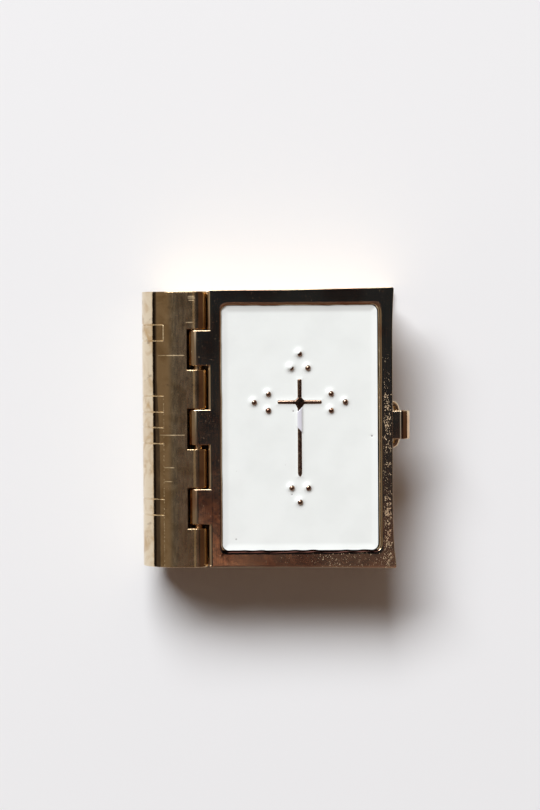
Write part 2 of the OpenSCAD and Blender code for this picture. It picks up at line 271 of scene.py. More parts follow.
def gilt(name, roughness, brushed, dirt):
    """Gilt brass: pale gold, reddish where the gilding is thin and brown where it is dirty, with
    fine hairlines along the length of the book and a soft unevenness from polishing."""
    material, tree, shader = new_finish(name, Metallic=1.0)
    thin = fade(tree, noise(tree, 7, 3), 0.45, 0.72)
    grime = fade(tree, noise(tree, 1.1, 6, distortion=0.6), 0.62, 0.80, 0, dirt)
    hair = noise(tree, 0.12, 3, stretch=(1, 40, 1))
    cross_hair = noise(tree, 0.10, 2, stretch=(30, 1, 1))
    colour = blended(tree, thin, GILT, GILT_RED)
    colour = blended(tree, grime, colour, GILT_TARNISH)
    worn = plus(tree, fade(tree, hair, 0.42, 0.75, roughness, roughness + 0.16), times(tree, grime, 0.25))
    uneven = times(tree, noise(tree, 2.6, 2), 1.6)
    lines = times(tree, plus(tree, hair, cross_hair), brushed)
    finished(tree, shader, colour, worn, plus(tree, uneven, lines), 0.012)
    return material


gilt_plain = gilt("gilt_plain", 0.22, 0.12, 0.5)

rings = [at_height(gathered(cover_loop(BORDER_IN)), 0)]
border = [(BORDER_IN + BORDER_W, 0), (BORDER_IN + 0.75 * BORDER_W, BORDER_DEPTH),
          (BORDER_IN + 0.25 * BORDER_W, BORDER_DEPTH), (BORDER_IN, 0)]
rings += [at_height(cover_loop(inset), z) for inset, z in border]
rings += [at_height(cover_loop(in_by * EASED_R), down * EASED_R) for in_by, down in eased()]
rings += [at_height(cover_loop(in_by * EASED_R), back_high[2] - down * EASED_R)
          for in_by, down in eased()[::-1]]
rings += [at_height(cover_loop(FLAT_RING), back_high[2]), at_height(gathered(cover_loop(0)), back_high[2])]
back_plate = make_piece("back_plate", [(np.array(rings), False, True)], "case", gilt_plain)
keep_faces_flat(back_plate)
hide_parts("back_cover")


# ---------- spine
# One sheet rolled round the back of the book. Its ends at the hinge are rolled into four knuckles,
# and pairs of lines are engraved round it, joined here and there by a line along its length.

pin_low, pin_high = span("hinge_pin")
case_top = spine_high[2]
SHEET_T = 0.9
ROUND_R = 5.2
PIN_R = (pin_high[2] - pin_low[2]) / 2
axis_x, axis_z = (pin_low[0] + pin_high[0]) / 2, (pin_low[2] + pin_high[2]) / 2
BARREL_R = case_top - axis_z
NOTCH_X = axis_x - BARREL_R - 0.2
SPINE_END_R = 0.1
BAND_MIDDLES = (13.19, 3.42, -0.91, -10.75)
BAND_HALF = 1.1
LINE_W = 0.2
LINE_DEPTH = 0.09
LENGTHWISE = 3.10
FINGER_L = 4.85
FINGER_TOPS = (13.5125, 2.625, -8.2625)
GAP_HEAD, GAP_TAIL = 0.15, 0.55
TONGUE_EASE = 0.12


def rolled_sheet(inset):
    """Section of the spine as points (x, z) and their outward directions, from the back cover
    round the back to the notches: a straight run, two quarter circles with a short flat between
    them, and a straight run, all moved inwards by inset."""
    angle = np.linspace(0, np.pi / 2, 49)
    under = np.linspace(plate_x, spine_low[0] + ROUND_R, 10)[:-1]
    over = np.linspace(spine_low[0] + ROUND_R, NOTCH_X, 8)[1:]
    centre_x = spine_low[0] + ROUND_R
    directions = np.concatenate([
        np.tile([0.0, -1.0], (len(under), 1)),
        together(-np.sin(angle), -np.cos(angle)),
        together(-np.cos(angle), np.sin(angle)),
        np.tile([0.0, 1.0], (len(over), 1))])
    hubs = np.concatenate([
        together(under, ROUND_R),
        np.tile([centre_x, ROUND_R], (len(angle), 1)),
        np.tile([centre_x, case_top - ROUND_R], (len(angle), 1)),
        together(over, case_top - ROUND_R)])
    return hubs + directions * (ROUND_R - inset), directions


def groove(distance):
    """Depth of an engraved line, as a share: full along its middle, falling as a parabola to
    nothing at its edges."""
    return np.clip(1 - (2 * distance / LINE_W) ** 2, 0, 1)


line_places = np.array([middle + side * BAND_HALF for middle in BAND_MIDDLES for side in (-1, 1)])
across_line = np.linspace(-0.5, 0.5, 7) * LINE_W
ends = np.linspace(0, SPINE_END_R, 5)
sheet_y = np.unique(np.round(np.concatenate([
    np.linspace(spine_low[1], spine_high[1], 160), (line_places[:, None] + across_line).ravel(),
    spine_low[1] + ends, spine_high[1] - ends]), 4))
outer, facing = rolled_sheet(0)
inner, _ = rolled_sheet(SHEET_T)
lengthwise_x = spine_low[0] + LENGTHWISE
rising = np.abs(facing[:, 1:2]) < np.abs(facing[np.argmin(np.abs(outer[:, 0] - lengthwise_x)), 1]) + 0.002
nearest_line = np.abs(sheet_y[:, None] - line_places).min(axis=1)
from_end = np.minimum(sheet_y - spine_low[1], spine_high[1] - sheet_y)
end_ease = SPINE_END_R - np.sqrt(np.clip(SPINE_END_R ** 2 - np.clip(SPINE_END_R - from_end, 0, None) ** 2,
                                         0, None))
sunk = np.maximum(LINE_DEPTH * groove(nearest_line)[None, :] * rising, end_ease[None, :])
skin = outer[:, None, :] - facing[:, None, :] * sunk[..., None]
skin = together(skin[..., 0], sheet_y, skin[..., 1])
lining = together(inner[:, None, 0], skin[..., 1], inner[:, None, 1])
tube = np.concatenate([skin, lining[::-1]])
spine_grids = [(tube, True, False),
               (np.stack([skin[:, 0], lining[:, 0]]), False, False),
               (np.stack([skin[:, -1], lining[:, -1]]), False, False)]


def tongue(outline, directions, bore_r, low_y, high_y):
    """A hinge knuckle or finger: the outline carried along the pin's direction, its two ends eased
    as quarter circles, with a bore of the given radius about the pin. The outline is (x, z) from
    the pin, and directions say which way each point draws in where an end is eased."""
    angle = np.unwrap(np.arctan2(outline[:, 1], outline[:, 0]))
    one_way = np.minimum if angle[-1] < angle[0] else np.maximum
    angle = one_way.accumulate(angle)
    bore = bore_r * together(np.cos(angle), np.sin(angle))
    places = [(low_y + down * TONGUE_EASE, in_by * TONGUE_EASE) for in_by, down in eased()]
    places += [(low_y + high_y - y, inset) for y, inset in places[::-1]]
    rings = []
    for y, inset in places:
        ring = outline - directions * inset
        rings.append(together(ring[:, 0], y, ring[:, 1]))
    for y in (high_y, low_y):
        rings.append(together(bore[:, 0], y, bore[:, 1]))
    return np.array(rings) + [axis_x, 0, axis_z], True, True


def bent_outline(root_x, first_angle, last_angle, root_low, crown=BARREL_R):
    """Outline of a rolled end, about the pin: along the top from root_x, round the barrel from
    first_angle to last_angle, and back to the root at height root_low. The first quarter falls
    only as far as crown, as a quarter ellipse, and drops straight from there."""
    turn = np.linspace(first_angle, last_angle, 81)
    arc = BARREL_R * together(np.cos(turn), np.sin(turn))
    arc[:, 1] += np.clip(np.sign(arc[:, 1] + 1e-6), 0, 1) * (BARREL_R - crown) * (1 - arc[:, 1] / BARREL_R)
    top = together(np.linspace(root_x, 0, 9)[:-1], BARREL_R)
    back = together(np.linspace(arc[-1, 0], root_x, 5)[1:], root_low)
    directions = np.concatenate([np.tile([0.0, 1.0], (8, 1)), arc / BARREL_R,
                                 np.tile([0.0, -1.0], (4, 1))])
    return np.concatenate([top, arc, back]), directions


sheet_under = BARREL_R - SHEET_T
meets = np.pi - np.arcsin(sheet_under / BARREL_R)
knuckle, knuckle_directions = bent_outline(NOTCH_X - axis_x, np.pi / 2, meets - 2 * np.pi, sheet_under)
knuckle_spans = [(FINGER_TOPS[0] + GAP_HEAD, spine_high[1])]
knuckle_spans += [(above + GAP_HEAD, below - FINGER_L - GAP_TAIL)
                  for above, below in zip(FINGER_TOPS[1:], FINGER_TOPS[:-1])]
knuckle_spans += [(-head_y, FINGER_TOPS[-1] - FINGER_L - GAP_TAIL)]
for low_y, high_y in knuckle_spans:
    spine_grids.append(tongue(knuckle, knuckle_directions, PIN_R, low_y, high_y))

SCRATCHES = ((10.09, -16.1, -12.4), (-0.84, -15.9, -12.4), (-5.29, -15.3, -13.9), (-7.20, -15.3, -14.2),
             (18.16, -11.9, -11.0), (17.93, -11.9, -10.9), (17.63, -11.8, -11.0), (14.6, -12.2, -11.2))
SCRATCH_W = 0.10
CROWN_X = -11.10


def engraved(x, y, z):
    """One along the bottom of the engraved lines, up to the lengthwise line."""
    nearest = np.abs(y[:, None] - line_places).min(axis=1)
    reached = (x > spine_low[0] + 1.5) & (x < spine_low[0] + LENGTHWISE + 0.1) & (z > case_top / 2)
    return np.sqrt(groove(nearest)) * reached


def mark(piece, name, share):
    """Stores a share from 0 to 1 at each point of a piece, worked out from the points' places in
    millimetres, for its material to read."""
    points = np.empty(len(piece.data.vertices) * 3)
    piece.data.vertices.foreach_get("co", points)
    x, y, z = points.reshape(-1, 3).T / MM
    values = np.broadcast_to(share(x, y, z), x.shape).astype(np.float32)
    piece.data.attributes.new(name, "FLOAT", "POINT").data.foreach_set("value", values)


def marked(tree, name):
    """The share stored on a piece's points under this name."""
    node = tree.nodes.new("ShaderNodeAttribute")
    node.attribute_name = name
    return node.outputs["Fac"]


def largest(tree, *values):
    """The largest of the values."""
    return combined(tree, "MAXIMUM", values)


def minus(tree, first, second):
    """The first value less the second."""
    return combined(tree, "SUBTRACT", (first, second))


def gap(tree, first, second):
    """How far two values are apart, whichever is larger."""
    return combined(tree, "ABSOLUTE", (minus(tree, first, second), 0.0))


def object_place(tree):
    """The point that is being coloured, in the object's frame, and its x and y."""
    place = tree.nodes.new("ShaderNodeTexCoord").outputs["Object"]
    apart = tree.nodes.new("ShaderNodeSeparateXYZ")
    tree.links.new(place, apart.inputs[0])
    return place, apart.outputs["X"], apart.outputs["Y"]


def satin_gilt():
    """Worn gilt on the spine: satin and mottled, with fine scratches and flecks of worn metal, brown dirt,
    and a slight swelling where the sheet begins to roll into the knuckles. Painted light: the rounded flank
    is painted paler and a strip beside it darker, as reflections, and the engraved lines pale gold, as
    highlights."""
    material, tree, shader = new_finish("satin_gilt", Metallic=1.0)
    haze = noise(tree, 0.035, 2, stretch=(1, 2.5, 1))
    streaks = noise(tree, 0.30, 5, stretch=(1, 5, 1))
    _, across, along = object_place(tree)
    from_edge = minus(tree, across, spine_low[0] * MM)
    from_crown = minus(tree, across, CROWN_X * MM)
    on_top = fade(tree, from_edge, 1.7 * MM, 4.5 * MM)
    flat_top = fade(tree, from_edge, 3.3 * MM, 4.8 * MM)
    blotches = fade(tree, noise(tree, 2.4, 5, distortion=0.8), 0.40, 0.70)
    grime = fade(tree, noise(tree, 0.7, 6, stretch=(2, 1, 2)), 0.60, 0.78)
    # Painted reflection: the rounded flank, out to about 1.6 mm from the spine's edge, is painted paler than
    # the top.
    painted_flank_sheen = fade(tree, from_edge, 1.3 * MM, 1.9 * MM)
    colour = blended(tree, painted_flank_sheen, (0.80, 0.68, 0.50, 1), (0.75, 0.55, 0.32, 1))
    colour = blended(tree, blotches, colour, (0.58, 0.40, 0.21, 1))
    colour = blended(tree, times(tree, grime, 0.6), colour, (0.22, 0.14, 0.08, 1))
    # Painted reflection: a dark strip along the spine, just inside the pale flank, that widens towards the
    # tail.
    dark_strip_reach = fade(tree, along, 8.0 * MM, -3.0 * MM, 2.12 * MM, 2.50 * MM)
    painted_dark_strip = times(tree, fade(tree, from_edge, 1.66 * MM, 1.78 * MM),
                  fade(tree, minus(tree, from_edge, dark_strip_reach), 0.12 * MM, -0.06 * MM),
                  fade(tree, noise(tree, 0.6, 4, stretch=(1, 3, 1)), 0.2, 0.5, 0.5, 0.85))
    colour = blended(tree, painted_dark_strip, colour, (0.16, 0.125, 0.09, 1))
    dotted = fade(tree, noise(tree, 0.30, 4), 0.46, 0.60)
    joining = fade(tree, gap(tree, along, BAND_MIDDLES[0] * MM), 1.15 * MM, 1.05 * MM)
    tailwards = fade(tree, along, 4.9 * MM, 4.4 * MM, 0, 0.75)
    lengthwise = times(tree, fade(tree, gap(tree, from_edge, LENGTHWISE * MM), 0.085 * MM, 0.03 * MM),
                       largest(tree, joining, times(tree, tailwards, dotted)))
    flecks = fade(tree, noise(tree, 0.14, 3), 0.72, 0.78, 0, 0.6)
    # Partly painted highlight: the engraved lines and the lengthwise line are painted pale gold, paler than
    # the gilt, for light caught on their walls; the scratches and flecks are worn metal.
    bright_wear_and_highlight = [marked(tree, "engraved"), lengthwise, flecks]
    for scratch_y, low_x, high_x in SCRATCHES:
        off = gap(tree, along, scratch_y * MM)
        bright_wear_and_highlight.append(times(tree, fade(tree, off, SCRATCH_W * MM, 0.3 * SCRATCH_W * MM, 0, 0.7),
                            fade(tree, across, (low_x - 0.1) * MM, (low_x + 0.1) * MM),
                            fade(tree, across, (high_x + 0.1) * MM, (high_x - 0.2) * MM)))
    bright_wear_and_highlight = times(tree, largest(tree, *bright_wear_and_highlight), fade(tree, noise(tree, 0.25, 3), 0.25, 0.50, 0.45, 1),
                   fade(tree, from_edge, 1.5 * MM, 1.7 * MM))
    colour = blended(tree, bright_wear_and_highlight, colour, (1.0, 0.80, 0.50, 1))
    roughness = plus(tree, fade(tree, haze, 0.40, 0.62, 0.05, 0.10),
                     times(tree, on_top, fade(tree, streaks, 0.30, 0.75, 0.09, 0.14)),
                     times(tree, flat_top, 0.075))
    rolled = fade(tree, from_crown, 0.15 * MM, 0.45 * MM, 1, 0.62)
    roughness = plus(tree, times(tree, roughness, rolled), times(tree, bright_wear_and_highlight, 0.30))
    swelling = times(tree, fade(tree, from_crown, -0.22 * MM, 0.16 * MM),
                     fade(tree, from_crown, 1.3 * MM, 0.16 * MM, 0, 9.0))
    height = plus(tree, times(tree, noise(tree, 1.8, 3), 1.3), times(tree, haze, 0.05), swelling)
    finished(tree, shader, colour, roughness, height, 0.012)
    return material


gilt_satin = satin_gilt()
rolled_spine = make_piece("rolled_spine", spine_grids, "case", gilt_satin)
keep_faces_flat(rolled_spine)
mark(rolled_spine, "engraved", engraved)
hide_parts("spine_shell")


# ---------- spine caps, web and hinge pin
# Plates brazed in to close the hollow spine at both ends and beside the pages, and the brass wire
# that is pressed through the knuckles. Their sawn edges are broken with a file.

FILED_EDGE = 0.06


def filed(node, material, name, width=FILED_EDGE):
    """A copy of a node's shape with its loose faces merged and its edges broken."""
    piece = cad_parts[node].copy()
    piece.data = piece.data.copy()
    piece.parent = None
    piece.name = name
    for key in list(piece.keys()):
        del piece[key]
    bpy.context.scene.collection.objects.link(piece)
    shell = bmesh.new()
    shell.from_mesh(piece.data)
    bmesh.ops.remove_doubles(shell, verts=shell.verts, dist=0.002 * MM)
    bmesh.ops.dissolve_limit(shell, angle_limit=np.radians(1), verts=shell.verts, edges=shell.edges)
    bmesh.ops.recalc_face_normals(shell, faces=shell.faces)
    shell.to_mesh(piece.data)
    shell.free()
    piece.data.shade_smooth()
    piece.data.set_sharp_from_angle(angle=SMOOTH_ANGLE)
    bevel = piece.modifiers.new("broken_edges", "BEVEL")
    bevel.width, bevel.segments, bevel.limit_method = width * MM, 2, "ANGLE"
    bevel.angle_limit = SMOOTH_ANGLE
    piece.data.materials.clear()
    piece.data.materials.append(material)
    keep_faces_flat(piece)
    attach(piece, "case")
    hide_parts(node)
    return piece


for node, name in (("spine_cap_head", "cap_head"), ("spine_cap_tail", "cap_tail"),
                   ("inner_web", "web_plate")):
    filed(node, gilt_satin, name)


def domed_rod(radius, low_y, high_y, dome):
    """Round wire along the book, with its ends upset into low domes: circles whose radius falls
    as a quarter ellipse over the dome at each end."""
    turn = np.linspace(0, 2 * np.pi, 40, endpoint=False)
    rise = np.linspace(0, np.pi / 2, 6)
    y = np.concatenate([low_y + dome * (1 - np.cos(rise)), high_y - dome * (1 - np.cos(rise[::-1]))])
    r = radius * np.concatenate([np.sin(rise), np.sin(rise[::-1])])
    return together(r[:, None] * np.cos(turn), y[:, None], r[:, None] * np.sin(turn))


pin_rings = domed_rod(PIN_R, pin_low[1], pin_high[1], 0.25) + [axis_x, 0, axis_z]
pin_wire = make_piece("pin_wire", [(pin_rings, False, True)], "case", gilt_plain)
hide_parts("hinge_pin")


# ---------- page-edge walls
# Three gilt walls round the pages, scored to look like the edges of a thick book, with the
# bowed wire that the clasp snaps over let into the fore-edge one.


def give_finish(node, material):
    """Gives a node whose shape is already right its finish."""
    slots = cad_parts[node].data.materials
    slots.clear()
    slots.append(material)


def scored_gilt():
    """Gilt on the scored walls: as on the covers, with dirt in random patches."""
    material, tree, shader = new_finish("scored_gilt", Metallic=1.0)
    dirt = fade(tree, noise(tree, 0.9, 6), 0.48, 0.74)
    colour = blended(tree, dirt, (0.78, 0.60, 0.38, 1), (0.58, 0.41, 0.25, 1))
    hair = noise(tree, 0.09, 3, stretch=(20, 20, 1))
    finished(tree, shader, colour, fade(tree, hair, 0.35, 0.75, 0.24, 0.42), hair, 0.01)
    return material


gilt_scored = scored_gilt()
gilt_wire = gilt("gilt_wire", 0.12, 0.10, 0.9)
for node in ("head_wall", "tail_wall", "fore_edge_wall"):
    filed(node, gilt_scored, node + "_scored", 0.03)
give_finish("catch_bar", gilt_wire)


# ---------- booklet
# A tiny sewn book glued in against the web: six folded sections and a few looser leaves of cream
# paper, sewn on three threads, lined with linen over the folds and cased in red leather.

PAPER_T = 0.09
LOOSE_T = 0.07
SHEETS = 4
PASTEDOWN_T = 0.03
JOINT_DIP = 0.10
BAND_WRAPS = 26

board_low, board_high = span("booklet_back_board")
strip_low, strip_high = span("booklet_spine_strip")
front_low, front_high = span("booklet_front_board")
paper_low, paper_high = span("back_endpaper")


def stations(low, high, ease, count):
    """Places from low to high, evenly spaced but for a few close together at both ends, where an
    edge is rounded off."""
    near = ease * (1 - np.cos(np.linspace(0, np.pi / 2, 4)))
    return np.concatenate([low + near, np.linspace(low + ease, high - ease, count)[1:-1], high - near[::-1]])


def rounding(place, ease):
    """Share of full thickness at each place along an edge-to-edge line: a quarter circle at both ends."""
    nearest = np.clip(np.minimum(place - place[0], place[-1] - place) / ease, 0, 1)
    return np.sqrt(1 - (1 - nearest) ** 2)


def bent_sheet(path, low_y, high_y, thick, ease, count=24, wave=0.0, turn=0.0):
    """A sheet that follows a path of (x, z) points and is as wide as the book is tall. It is
    thickened to both sides of the path, and thins to nothing round its edges as a quarter
    circle. The wave lifts it by a slow product of sines, which grows away from the fold."""
    steps = np.append(0, np.cumsum(np.hypot(*np.diff(path, axis=0).T)))
    s = stations(0, steps[-1], ease, count * 2)
    y = stations(low_y, high_y, ease, count)
    x, z = np.interp(s, steps, path[:, 0]), np.interp(s, steps, path[:, 1])
    slope = np.stack([np.gradient(x, s), np.gradient(z, s)])
    slope /= np.hypot(*slope)
    half = thick / 2 * rounding(y, ease)[:, None] * rounding(s, ease)[None, :]
    lift = wave * np.sin(y[:, None] / 5 + turn) * np.sin(x[None, :] / 4 + 2 * turn)
    lift = lift * np.clip((x - x.min()) / max(x.max() - x.min(), 0.1), 0, 1)[None, :]
    faces = [together(x - side * slope[1] * half, y[:, None], z + lift + side * slope[0] * half)
             for side in (1, -1)]
    return np.concatenate([faces[0], faces[1][:, ::-1]], axis=1), False, True


def red_leather():
    """Dark red goatskin: pebbled grain, with cracks of darker dye and paler, rubbed high spots."""
    material, tree, shader = new_finish("red_leather", Roughness=0.5, Coat_Weight=0.1)
    place, _, _ = object_place(tree)
    grain = add(tree, "TexVoronoi", {"Vector": place, "Scale": 1 / (0.32 * MM)}, feature="DISTANCE_TO_EDGE")
    pebbles = fade(tree, grain, 0.0, 0.30)
    worn = fade(tree, noise(tree, 2.5, 5), 0.50, 0.72)
    colour = blended(tree, pebbles, (0.045, 0.008, 0.009, 1), (0.20, 0.026, 0.028, 1))
    colour = blended(tree, times(tree, worn, 0.6), colour, (0.30, 0.07, 0.05, 1))
    finished(tree, shader, colour, fade(tree, pebbles, 0, 1, 0.62, 0.42), pebbles, 0.04)
    return material


def book_paper():
    """Thin cream paper: cloudy, faintly fibrous, and browner towards its cut edges."""
    material, tree, shader = new_finish("book_paper", Roughness=0.85)
    _, x, y = object_place(tree)
    edge = largest(tree, fade(tree, x, (paper_high[0] - 1.6) * MM, paper_high[0] * MM),
                   fade(tree, gap(tree, y, 0.0), (paper_high[1] - 1.6) * MM, paper_high[1] * MM))
    clouds = noise(tree, 3.5, 5)
    fibres = noise(tree, 0.10, 3, stretch=(6, 1, 1), distortion=1.0)
    colour = blended(tree, fade(tree, clouds, 0.35, 0.7), (0.83, 0.76, 0.61, 1), (0.76, 0.67, 0.50, 1))
    colour = blended(tree, times(tree, edge, 0.55), colour, (0.56, 0.42, 0.25, 1))
    colour = blended(tree, fade(tree, fibres, 0.62, 0.80, 0, 0.25), colour, (0.52, 0.42, 0.30, 1))
    finished(tree, shader, colour, None, fibres, 0.008)
    return material


def ridges(tree, scale, direction, distortion=0.0):
    """Even waves across a direction, from 0 in the hollows to 1 on the ridges."""
    place, _, _ = object_place(tree)
    wave = add(tree, "TexWave", {"Vector": place, "Scale": 1 / (scale * MM), "Distortion": distortion},
               bands_direction=direction)
    return wave.node.outputs["Fac"]


def lining_linen():
    """Coarse undyed linen: threads over and under each other along the book and across it."""
    material, tree, shader = new_finish("lining_linen", Roughness=0.9)
    weave = times(tree, ridges(tree, 1.1, "Y", 0.6), ridges(tree, 1.1, "Z", 0.6))
    colour = blended(tree, weave, (0.40, 0.34, 0.25, 1), (0.70, 0.63, 0.50, 1))
    finished(tree, shader, colour, None, weave, 0.03)
    return material


def band_silk():
    """Silk wound round the end bands in alternate turns of red and cream."""
    material, tree, shader = new_finish("band_silk", Roughness=0.42, Sheen_Weight=0.3)
    turns = fade(tree, ridges(tree, 1.3, "Z"), 0.45, 0.55)
    colour = blended(tree, turns, (0.40, 0.02, 0.03, 1), (0.75, 0.66, 0.48, 1))
    finished(tree, shader, colour, None, noise(tree, 0.05, 2, stretch=(1, 8, 1)), 0.01)
    return material


leather, paper, linen, silk = red_leather(), book_paper(), lining_linen(), band_silk()


board_z = (board_low[2] + board_high[2]) / 2
board_t = board_high[2] - board_low[2]
back_path = np.array([[board_low[0], board_z], [board_high[0], board_z]])
back_board = make_piece("leather_back", [bent_sheet(back_path, board_low[1], board_high[1], board_t, 0.14)],
                        "case", leather)
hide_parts("booklet_back_board")

strip_x, strip_t = (strip_low[0] + strip_high[0]) / 2, strip_high[0] - strip_low[0]
strip_path = np.array([[strip_x, strip_low[2]], [strip_x, strip_high[2] - board_t / 2]])
strip_grid = bent_sheet(strip_path, strip_low[1], strip_high[1], strip_t, 0.12)
spine_leather = make_piece("leather_spine", [strip_grid], "case", leather)
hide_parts("booklet_spine_strip")

gutter_x = strip_high[0] + 0.4
front_z = (front_low[2] + front_high[2]) / 2
joint_x = np.linspace(strip_low[0] + 0.05, front_high[0], 400)
joint_dip = np.exp(-((joint_x - gutter_x - 0.9) / 0.45) ** 2)
front_path = together(joint_x, front_z - JOINT_DIP * joint_dip)
front_grid = bent_sheet(front_path, front_low[1], front_high[1], board_t, 0.14, 40)
front_board = make_piece("leather_front", [front_grid], None, leather)
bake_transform(front_board)
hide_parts("booklet_front_board")

paste_path = front_path - [0, board_t / 2 + PASTEDOWN_T * 0.6]
paste_path = paste_path[(joint_x > gutter_x - 0.2) & (joint_x < paper_high[0])]
paste_grid = bent_sheet(paste_path, paper_low[1], paper_high[1], PASTEDOWN_T, 0.015, 40)
pastedown = make_piece("front_pastedown", [paste_grid], None, paper)
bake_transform(pastedown)

for node, material in (("back_endpaper", paper), ("spine_lining", linen), ("sewing_threads", linen)):
    give_finish(node, material)


def folded(low, high, sheet):
    """Path of one folded sheet of a section: along the lower leaf to the fold, half round it, and
    back along the upper leaf. Inner sheets fold tighter and stand out a little at the fore edge."""
    middle_z, half = (low[2] + high[2]) / 2, (high[2] - low[2]) / 2
    off = half * (1 - (sheet + 0.5) / SHEETS)
    fold_x = low[0] + half
    turn = np.linspace(-np.pi / 2, -3 * np.pi / 2, 17)
    fold = together(fold_x + (off + PAPER_T / 2 - 0.01) * np.cos(turn), middle_z + off * np.sin(turn))
    fore_x = high[0] - 0.09 + 0.03 * sheet
    return np.concatenate([[[fore_x, middle_z - off]], fold, [[fore_x - 0.02, middle_z + off]]])


for section in range(1, 7):
    node = "page_section_" + str(section)
    low, high = span(node)
    sheets = [bent_sheet(folded(low, high, sheet), low[1] + 0.02 * (sheet % 2),
                         high[1] - 0.02 * (section % 2), PAPER_T, 0.03, 12) for sheet in range(SHEETS)]
    folios = make_piece("folios_" + str(section), sheets, "case", paper)
    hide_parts(node)

for leaf in range(1, 7):
    node = "leaf_" + str(leaf)
    low, high = span(node)
    sheets = []
    for sheet, z in enumerate((low[2] + LOOSE_T / 2, high[2] - LOOSE_T / 2)):
        path = together(np.linspace(strip_high[0] + 0.25, high[0] - 0.04 * ((leaf + sheet) % 3), 200), z)
        sheets.append(bent_sheet(path, low[1] + 0.03 * sheet, high[1] - 0.03 * (leaf % 2), LOOSE_T, 0.03, 20,
                                 wave=0.02, turn=leaf))
    loose = make_piece("loose_leaves_" + str(leaf), sheets, None, paper)
    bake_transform(loose)
    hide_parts(node)


def wound_band(low, high):
    """A round core stood on end and wound with silk: circles up the fold, swelling once for each
    turn of the silk as a rectified sine."""
    turn = np.linspace(0, 2 * np.pi, 20, endpoint=False)
    up = np.linspace(0, 1, BAND_WRAPS * 6 + 1)
    swell = 0.86 + 0.14 * np.abs(np.sin(up * BAND_WRAPS * np.pi))
    swell[[0, -1]] = 0
    radius_x, radius_y = (high[0] - low[0]) / 2, (high[1] - low[1]) / 2
    x = (low[0] + high[0]) / 2 + swell[:, None] * radius_x * np.cos(turn)
    y = (low[1] + high[1]) / 2 + swell[:, None] * radius_y * np.sin(turn)
    z = low[2] + np.clip(up, 0.001, 0.999)[:, None] * (high[2] - low[2])
    return together(x, y, z), False, True


for node in ("headband", "tailband"):
    band = make_piece(node + "_wound", [wound_band(*span(node))], "case", silk)
    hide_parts(node)


# ---------- front cover
# A gilt tray with a raised rim, burnished over the edge of the enamel along an uneven line, and
# three rolled fingers that swing on the hinge pin.

enamel_low, enamel_high = span("enamel_panel")
middle_x, middle_y = (enamel_low[0] + enamel_high[0]) / 2, (enamel_low[1] + enamel_high[1]) / 2
PLATE_T = 1.6
WINDOW_R = 0.9
LIP_REACH, LIP_DROP, LIP_UNDER = 0.42, 0.34, 0.20
OUTER_EASE = 0.07
LIP_SINK = 0.10
SLOPE_HINGE, SLOPE_FORE, SLOPE_HEAD, SLOPE_TAIL = 0.28, 0.62, 0.34, 0.34
WALL_SHOWN = 0.24
PIN_PLAY = 0.04
FINGER_CROWN = 1.05


def fade_in(value, begin, end):
    """Zero before begin, one after end, and a smooth cubic step between."""
    share = np.clip((value - begin) / (end - begin), 0, 1)
    return share * share * (3 - 2 * share)


def window_loop(out_by, waver=0.0):
    """Outline of the enamel's window, let out by a share of the slope on each side. The waver
    moves it in and out by a sum of slow sine waves round the loop, larger at the tail."""
    x, y = rounded_loop(enamel_low[0] - out_by * SLOPE_HINGE, enamel_high[0] + out_by * SLOPE_FORE,
                        enamel_low[1] - out_by * SLOPE_TAIL, enamel_high[1] + out_by * SLOPE_HEAD,
                        WINDOW_R + 0.3 * out_by).T
    turn = np.linspace(0, 2 * np.pi, len(x), endpoint=False)
    wave = (np.sin(11 * turn + 1.3) + 0.7 * np.sin(23 * turn + 0.4) + 0.5 * np.sin(37 * turn)) / 2.2
    wave *= waver * (0.55 + 0.9 * fade_in(-y, -enamel_low[1] - 2, -enamel_low[1]))
    drawn = wave / np.hypot(x - middle_x, y - middle_y)
    return together(x - (x - middle_x) * drawn, y - (y - middle_y) * drawn)


def lip(share, x):
    """Height of the burnished slope at a share of its width: it bows like a flattened arch, and
    starts below the enamel's edge at the fore edge, but above it on the other sides."""
    not_fore = fade_in(-x, -enamel_high[0] + 0.1, -enamel_high[0] + 1)
    start = enamel_high[2] - LIP_SINK + (LIP_SINK + WALL_SHOWN) * not_fore
    return start + (case_top - start) * (1 - (1 - share) ** 1.6)


plate_z = case_top - PLATE_T
rings = [at_height(gathered(window_loop(0)), enamel_low[2]),
         at_height(window_loop(0), enamel_low[2]),
         at_height(window_loop(0), enamel_high[2] - 2 * LIP_SINK)]
for share in np.linspace(0, 1, 11):
    loop = window_loop(share, 0.08 * (1 - 0.4 * share))
    rings.append(at_height(loop, lip(share, loop[:, 0])))
for share in (0.12, 0.5, 0.88):
    rim = window_loop(1) * (1 - share) + cover_loop(OUTER_EASE, LIP_REACH) * share
    rings.append(at_height(rim, case_top))
for in_by, down in eased(8):
    loop = cover_loop(in_by * OUTER_EASE, in_by * LIP_REACH)
    drop = down * np.where(loop[:, 0] < plate_x + in_by * LIP_REACH + 0.01, LIP_DROP, OUTER_EASE)
    rings.append(at_height(loop, case_top - drop))
rings.append(at_height(cover_loop(0), case_top - LIP_DROP - LIP_UNDER))
for in_by, down in eased()[::-1]:
    rings.append(at_height(cover_loop(in_by * OUTER_EASE, 0), plate_z + down * OUTER_EASE))
rings.append(at_height(cover_loop(FLAT_RING), plate_z))
rings.append(at_height(gathered(cover_loop(0)), plate_z))
cover_grids = [(np.array(rings), False, True)]
finger, finger_directions = bent_outline(plate_x - axis_x + LIP_REACH, np.pi / 2, 2 * np.pi, 0, FINGER_CROWN)
for high_y in FINGER_TOPS:
    cover_grids.append(tongue(finger, finger_directions, PIN_R + PIN_PLAY, high_y - FINGER_L, high_y))


